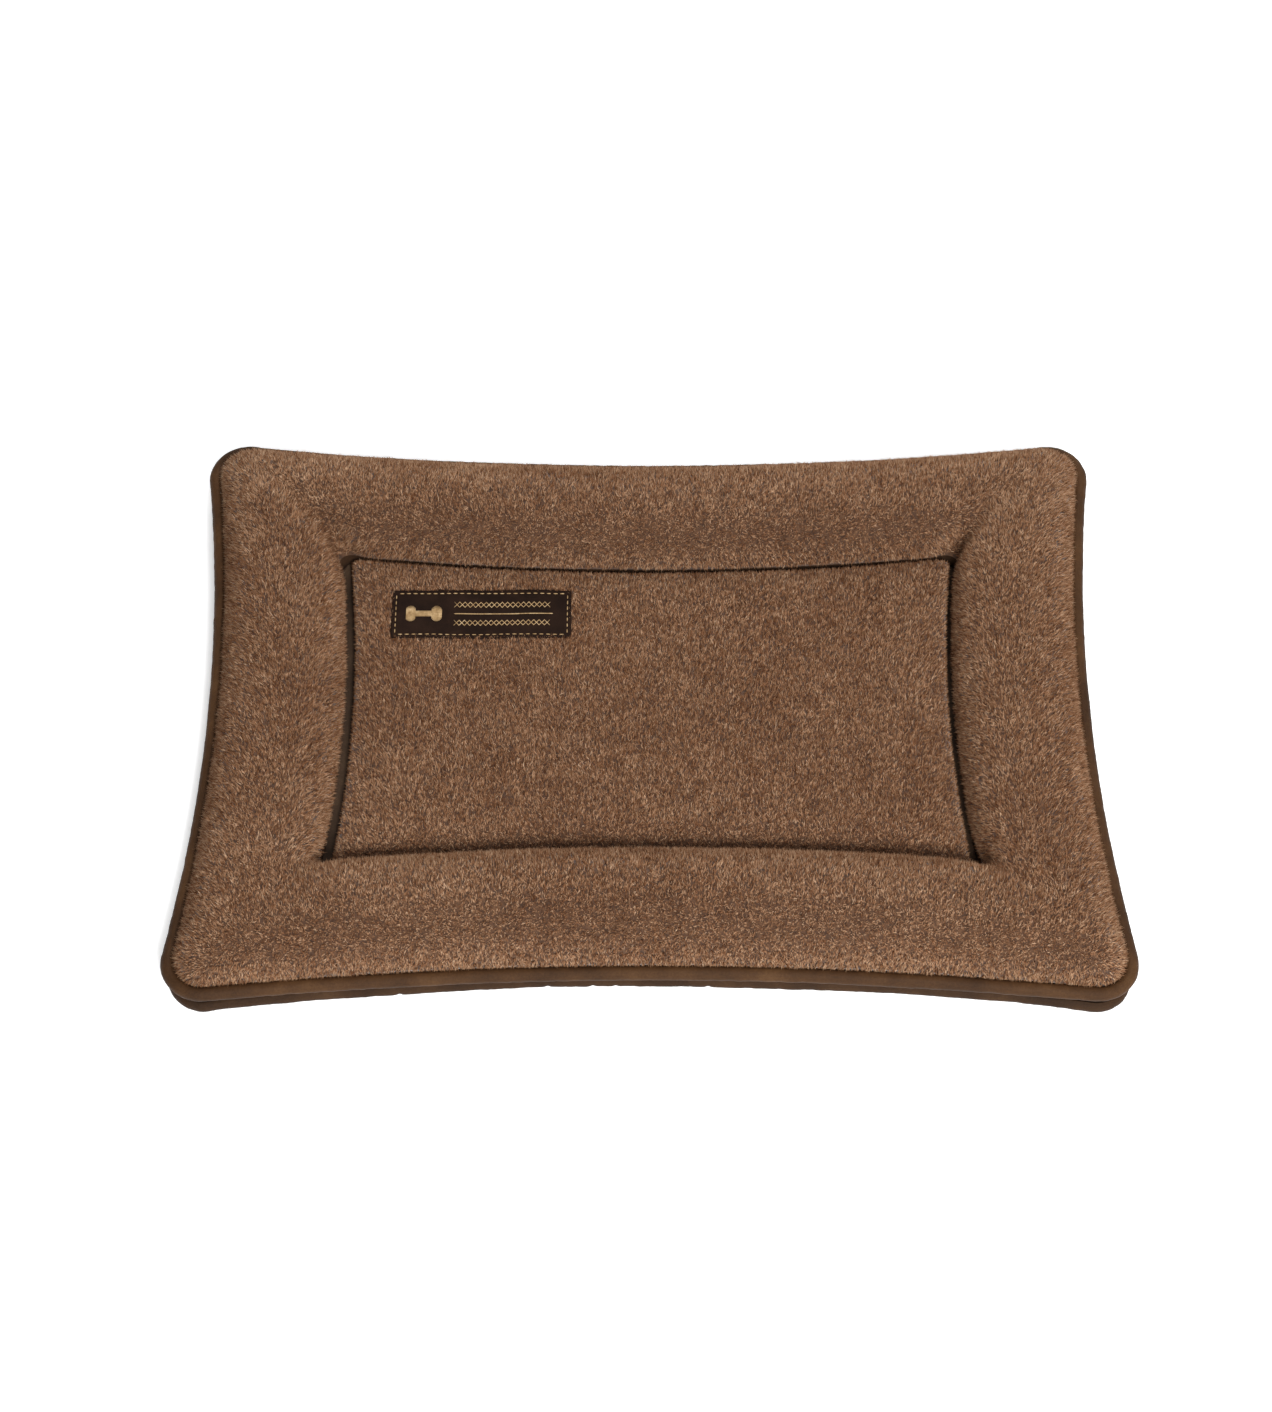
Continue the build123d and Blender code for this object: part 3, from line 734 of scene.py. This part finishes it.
upperPipingLook = {"inset": 4.5, "height": 23.5, "radius": 4.55, "wander": 0.35, "ripple": 0.10,
                   "cornerLift": 4.4, "cornerOut": 0.0, "pucker": 0.2, "puckerSize": 4.4, "seed": 71,
                   "kinks": [], "webSide": 11, "web": 4.7, "stitchDip": 0.25, "cord": 3.5,
                   "cloth": pipingCloth, "shadeFrom": 10, "shadeCorner": 0, "shadeTo": 14}
lowerPipingLook = {"inset": 8.8, "height": 5.1, "radius": 4.55, "wander": 0.7, "ripple": 0.4,
                   "cornerLift": 0.0, "cornerOut": 7.0, "pucker": 0.22, "puckerSize": 5.0, "seed": 81,
                   "kinks": [-154.0, -63.0, -35.0, -21.0, 36.0], "webSide": 7, "web": 4.4,
                   "stitchDip": 0.25, "cord": 3.4,
                   "cloth": lowerCloth, "shadeFrom": 3, "shadeCorner": 1, "shadeTo": 9}


pipingShape = {"sides": 18, "floorGap": 0.35, "kinkWidth": 1.6, "kinkDepth": 0.7, "kinkTurn": 0.6,
               "twistDepth": 0.12, "twistPitch": 0.35, "strands": 3}


# A cloth-covered piping, with the filler cord inside it.
def piping(name, cordName, look, nodes):
    path, out, corner = ringPath(look)
    path[:, 2] = np.maximum(path[:, 2], look["radius"] + pipingShape["floorGap"])
    sides = pipingShape["sides"]
    turn = np.arange(sides) / sides * 2 * math.pi
    around = look["radius"] * np.stack([np.cos(turn), np.sin(turn)], 1)
    spots = path.repeat(sides, 0) + out.repeat(sides, 0) * np.tile(around[:, :1], (len(path), 1))
    spots[:, 2] += np.tile(around[:, 1], len(path))
    puckers = latticeNoise(spots, look["puckerSize"], look["seed"] + 5)
    puckers += 0.5 * latticeNoise(spots, look["puckerSize"] / 2.4, look["seed"] + 6)
    radius = look["radius"] + look["pucker"] * puckers.reshape(len(path), sides)
    inward = np.clip(-np.cos(turn), 0, 1)[None, :]
    radius = radius - look["stitchDip"] * inward**2
    radius[:, look["webSide"]] += look["web"] * corner  # the piping's flange reaches back to the band
    for x in look["kinks"]:
        near = np.exp(-(((path[:, 0] - x) / pipingShape["kinkWidth"]) ** 2)) * (path[:, 1] < 0)
        facing = np.clip(np.cos(turn + pipingShape["kinkTurn"]), 0, 1)[None, :]
        radius = radius - pipingShape["kinkDepth"] * near[:, None] * facing
    # Painted shade: the faces from shadeFrom up to shadeTo, where the two pipings face each other across
    # the gap (the upper one's underside, the lower one's top), get the near-black cloth in place of their
    # own.
    side = np.arange(sides)[None, :]
    shaded = (side >= look["shadeFrom"] + look["shadeCorner"] * corner[:, None]) & (side < look["shadeTo"])
    cover = tubeMesh(name, path, out, radius, sides, [look["cloth"], paintedShadeCloth],
                     shaded.ravel())
    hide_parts(nodes[0])
    wind = (np.arange(len(path)) * pipingShape["twistPitch"])[:, None]
    twist = pipingShape["twistDepth"] * np.sin(pipingShape["strands"] * turn[None, :] + wind)
    core = tubeMesh(cordName, path, out, look["cord"] + twist, sides, [fillerCord])
    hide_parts(nodes[1])


piping("upperPiping", "upperPipingCord", upperPipingLook, ("upper_piping", "upper_piping_cord"))
piping("lowerPiping", "lowerPipingCord", lowerPipingLook, ("lower_piping", "lower_piping_cord"))
print("piping made")


zipLook = {"inset": 9.1, "height": 15.5, "halfLength": 247.6, "pitch": 1.5, "width": 2.15, "gap": 0.3,
           "thick": 0.5, "depth": 1.3, "sides": 8,
           "rings": [(0.45, 0.0), (1.0, 0.18), (1.0, 0.82), (0.45, 1.0)]}  # each turn's ends are rounded


# The point on the front edge at x, its distance in from the outline and the way out.
def frontPlace(inset, x):
    radius = arcRadius(bedPlan["width"] / 2, bedPlan["pullLong"])
    centre = -(bedPlan["depth"] / 2 - bedPlan["pullLong"]) - radius
    angle = np.arcsin(x / (radius + inset))
    y = centre + (radius + inset) * np.cos(angle)
    return y, np.stack([-np.sin(angle), -np.cos(angle)], -1)


# One half of the zip: a row of rounded coil turns, half a pitch out of step with the other half.
def coil(name, node, look, side):
    count = int(2 * look["halfLength"] / look["pitch"])
    x = (np.arange(count) - (count - 1) / 2) * look["pitch"] + side * look["pitch"] / 4
    y, out = frontPlace(look["inset"] + look["depth"] / 2, x)
    turn = np.arange(look["sides"]) / look["sides"] * 2 * math.pi
    points = []
    along = np.stack([-out[:, 1], out[:, 0]], -1)
    for scale, share in look["rings"]:
        up = share * (look["width"] - look["gap"]) + look["gap"]
        for angle in turn:
            a = look["thick"] * scale * math.cos(angle)
            b = look["depth"] / 2 * scale * math.sin(angle)
            xy = np.stack([x, y], -1) + along * a + out * b
            points.append(np.column_stack([xy, np.full(count, look["height"] + side * up)]))
    points = np.stack(points, 1)
    n = look["sides"]
    quads = [[r * n + k, r * n + (k + 1) % n, (r + 1) * n + (k + 1) % n, (r + 1) * n + k]
             for r in range(len(look["rings"]) - 1) for k in range(n)]
    last = (len(look["rings"]) - 1) * n
    caps = [[0, k, k + 1] for k in range(1, n - 1)]
    caps += [[last, last + k + 1, last + k] for k in range(1, n - 1)]
    first = np.arange(count)[:, None, None] * points.shape[1]
    allQuads = (first + np.array(quads)[None]).reshape(-1, 4)
    allCaps = (first + np.array(caps)[None])[..., ::-1].reshape(-1, 3)
    piece = addMesh(name, points, [allQuads, allCaps], [coilNylon])
    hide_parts(node)


coil("zipCoilUpper", "zip_coil_upper", zipLook, 1)
coil("zipCoilLower", "zip_coil_lower", zipLook, -1)
print("zip made")


# Height of the panel's cloth at points x, y.
def panelHeight(x, y):
    u, v = np.zeros_like(x), np.zeros_like(y)
    for _ in range(5):
        reachX, _ = panelPlace(np.ones_like(u), v)
        _, reachY = panelPlace(u, np.ones_like(v))
        u, v = (x - panelLook["shift"]) / reachX, y / reachY
    i, j = [(np.arcsin(w * math.sin(panelLook["bunch"])) / panelLook["bunch"] + 1) / 2 for w in (u, v)]
    i = np.clip(i * (len(panel) - 1), 0, len(panel) - 1.001)
    j = np.clip(j * (panel.shape[1] - 1), 0, panel.shape[1] - 1.001)
    a, b = i.astype(int), j.astype(int)
    p, q = i - a, j - b
    z = panel[..., 2]
    return (z[a, b] * (1 - p) * (1 - q) + z[a + 1, b] * p * (1 - q) + z[a, b + 1] * (1 - p) * q
            + z[a + 1, b + 1] * p * q)


# Height of the label's upper face at x, y on the label, from its middle.
def labelSurface(x, y):
    look = labelLook
    flat = panelHeight(x + look["x"], y + look["y"])
    spots = np.column_stack([x.ravel(), y.ravel()])
    wobble = look["wobble"] * latticeNoise(spots, look["wobbleSize"], 91).reshape(x.shape)
    edge = np.minimum(look["width"] / 2 - np.abs(x), look["depth"] / 2 - np.abs(y))
    seam = look["seamDip"] * np.exp(-(((edge - look["stitchInset"]) / look["seamWidth"]) ** 2))
    hem = look["hemDip"] * np.exp(-((edge / look["hemWidth"]) ** 2))
    return flat + look["lift"] + look["thickness"] + wobble - seam - hem


def makeLabel():
    look = labelLook
    steps = [np.linspace(-1, 1, count) for count in (look["columns"], look["rows"])]
    u, v = np.meshgrid(*steps, indexing="ij")
    x, y = u * look["width"] / 2, v * look["depth"] / 2
    z = labelSurface(x, y)
    spots = np.column_stack([x.ravel(), y.ravel()])
    ragged = look["ragged"] * latticeNoise(spots, look["raggedSize"], 95).reshape(x.shape)
    x = x + ragged * np.abs(u) ** 12
    y = y + ragged * np.abs(v) ** 12
    top = np.stack([x + look["x"], y + look["y"], z], -1)
    low = top - [0, 0, look["thickness"]]
    points = np.concatenate([top.reshape(-1, 3), low.reshape(-1, 3)])
    _, faces = closedSlab(top, 0)
    patch = addMesh("labelPatch", points, faces, [labelCloth])
    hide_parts("label_patch")


threadLook = {"sides": 6, "lift": 0.35, "endShare": 0.55}


# Short rounded threads laid on the label from point to point, as one mesh.
def threadRuns(runs, radius):
    points, quads, caps = [], [], []
    sides = threadLook["sides"]
    turn = np.arange(sides) / sides * 2 * math.pi
    for run in runs:
        run = np.asarray(run, float)
        z = labelSurface(run[:, 0], run[:, 1])
        line = np.column_stack([run[:, 0] + labelLook["x"], run[:, 1] + labelLook["y"],
                                z + radius * threadLook["lift"]])
        ahead = np.gradient(line, axis=0)
        ahead /= np.linalg.norm(ahead, axis=1, keepdims=True)
        beside = np.cross(ahead, [0, 0, 1.0])
        beside /= np.linalg.norm(beside, axis=1, keepdims=True)
        over = np.cross(beside, ahead)
        fat = np.full(len(line), radius)
        fat[[0, -1]] *= threadLook["endShare"]
        ring = beside[:, None] * np.cos(turn)[None, :, None] + over[:, None] * np.sin(turn)[None, :, None]
        start = sum(len(p) for p in points)
        points.append((line[:, None] + ring * fat[:, None, None]).reshape(-1, 3))
        for r in range(len(line) - 1):
            for k in range(sides):
                a, b = start + r * sides + k, start + r * sides + (k + 1) % sides
                quads.append([a, b, b + sides, a + sides])
        end = start + (len(line) - 1) * sides
        for k in range(1, sides - 1):
            caps.append([start, start + k + 1, start + k])
            caps.append([end, end + k, end + k + 1])
    return np.concatenate(points), [np.array(quads), np.array(caps)]


def runStitches():
    look = labelLook
    x, y = look["width"] / 2 - look["stitchInset"], look["depth"] / 2 - look["stitchInset"]
    runs = []
    for length, line, flip in ((x, y, False), (x, -y, False), (y, x, True), (y, -x, True)):
        count = int(2 * length // look["stitchPitch"])
        for i in range(count):
            middle = (i - (count - 1) / 2) * look["stitchPitch"]
            ends = np.linspace(middle - look["stitchLength"] / 2, middle + look["stitchLength"] / 2, 4)
            run = np.column_stack([ends, np.full(4, line)])
            runs.append(run[:, ::-1] if flip else run)
    return runs


motifLook = {"boneX": -38.0, "boneHalf": 8.5, "boneBar": 2.3, "knob": 3.4, "knobOut": 2.6,
             "rowPitch": 0.62, "barStart": -18.0, "barEnd": 47.0, "waveRow": 7.0,
             "waveHeight": 2.0, "waveLength": 7.0}


# Satin rows that fill a bone shape, then a plain line between two rows of zigzag.
def motifRuns(look):
    runs = []
    rows = np.arange(-look["boneHalf"] - look["knob"], look["boneHalf"] + look["knob"], look["rowPitch"])
    for x in rows:
        spans = []
        if abs(x) <= look["boneHalf"]:
            spans.append((-look["boneBar"], look["boneBar"]))
        for knobX in (-look["boneHalf"], look["boneHalf"]):
            if abs(x - knobX) < look["knob"]:
                half = math.sqrt(look["knob"] ** 2 - (x - knobX) ** 2)
                spans += [(s * look["knobOut"] - half, s * look["knobOut"] + half) for s in (-1, 1)]
        if spans:
            low, high = min(s[0] for s in spans), max(s[1] for s in spans)
            y = np.linspace(low, high, 6)
            runs.append(np.column_stack([np.full(6, look["boneX"] + x), y]))
    steps = np.arange(look["barStart"], look["barEnd"], look["waveLength"] / 2)
    for middle in (look["waveRow"], -look["waveRow"]):
        zigzag = middle + look["waveHeight"] * np.where(np.arange(len(steps)) % 2, 1, -1)
        runs.append(np.column_stack([steps, zigzag]))
        runs.append(np.column_stack([steps, 2 * middle - zigzag]))
    line = np.linspace(look["barStart"], look["barEnd"], 60)
    runs.append(np.column_stack([line, np.zeros(60)]))
    return runs


makeLabel()
stitchPoints, stitchFaces = threadRuns(runStitches(), labelLook["yarn"])
labelStitches = addMesh("labelStitches", stitchPoints, stitchFaces, [labelYarn])
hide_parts("label_stitching")
motifPoints, motifFaces = threadRuns(motifRuns(motifLook), labelLook["yarn"])
labelMotif = addMesh("labelMotif", motifPoints, motifFaces, [labelYarn])
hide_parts("label_motif")
print("label made")


finishes = {
    "base_panel": baseCloth, "foam_mat": foam, "magnets": magnetMetal, "magnet_sheet": liningCloth,
    "lining_sheet": bandCloth, "side_band": bandCloth, "zip_end_tabs": bandCloth,
    "zip_tape_upper": tapeCloth, "zip_tape_lower": tapeCloth, "zip_stops": zipMetal,
    "zip_slider": zipMetal, "zip_pull_tab": zipMetal, "panel_seam_thread": seamYarn,
}
for nodeName, material in finishes.items():
    for materialSlot in bpy.data.objects[nodeName].material_slots:
        materialSlot.material = material


def makeStage():
    floorMesh = bpy.data.meshes.new("floor")
    half = stageLook["floorHalf"]
    corners = [(-half, -half, 0), (half, -half, 0), (half, half, 0), (-half, half, 0)]
    floorMesh.from_pydata(corners, [], [(0, 1, 2, 3)])
    floor = bpy.data.objects.new("floor", floorMesh)
    bpy.context.scene.collection.objects.link(floor)
    material, _, shader = newMaterial("paleFloor")
    shader.inputs["Base Color"].default_value = (0.92, 0.92, 0.92, 1)
    shader.inputs["Emission Color"].default_value = (1, 1, 1, 1)
    shader.inputs["Emission Strength"].default_value = stageLook["floorGlow"]
    shader.inputs["Roughness"].default_value = 0.9
    shader.inputs["Specular IOR Level"].default_value = 0.1
    floorMesh.materials.append(material)
    world = bpy.data.worlds.new("studio")
    bpy.context.scene.world = world
    world.use_nodes = True
    world.node_tree.nodes["Background"].inputs["Color"].default_value = (1, 1, 1, 1)
    world.node_tree.nodes["Background"].inputs["Strength"].default_value = stageLook["world"]


stageLook = {
    "world": 0.32, "floorGlow": 0.42, "floorHalf": 40.0,
    "lamps": [
        {"name": "keyLight", "place": (0.4, -1.6, 1.7), "size": 0.7, "power": 60.0},
        {"name": "topLight", "place": (0.5, 0.3, 2.2), "size": 0.9, "power": 12.0},
        {"name": "backLight", "place": (0.3, 1.8, 1.1), "size": 1.0, "power": 14.0},
    ],
    "camera": {"elevation": 59.0, "distance": 1.734, "lens": 67.3, "target": (-0.0085, 0.016, 0.0)},
}


def makeLights():
    for lamp in stageLook["lamps"]:
        data = bpy.data.lights.new(lamp["name"], "AREA")
        data.shape = "DISK"
        data.size = lamp["size"]
        data.energy = lamp["power"]
        light = bpy.data.objects.new(lamp["name"], data)
        light.location = lamp["place"]
        light.rotation_euler = (-Vector(lamp["place"])).to_track_quat("-Z", "Y").to_euler()
        bpy.context.scene.collection.objects.link(light)


def makeCamera():
    look = stageLook["camera"]
    tilt = math.radians(look["elevation"])
    target = Vector(look["target"])
    data = bpy.data.cameras.new("camera")
    data.sensor_width = 36
    data.lens = look["lens"]
    camera = bpy.data.objects.new("camera", data)
    camera.location = target + Vector((0, -math.cos(tilt), math.sin(tilt))) * look["distance"]
    camera.rotation_euler = (math.pi / 2 - tilt, 0, 0)
    bpy.context.scene.collection.objects.link(camera)
    bpy.context.scene.camera = camera


makeStage()
makeLights()
makeCamera()
bpy.context.scene.view_settings.view_transform = "Standard"
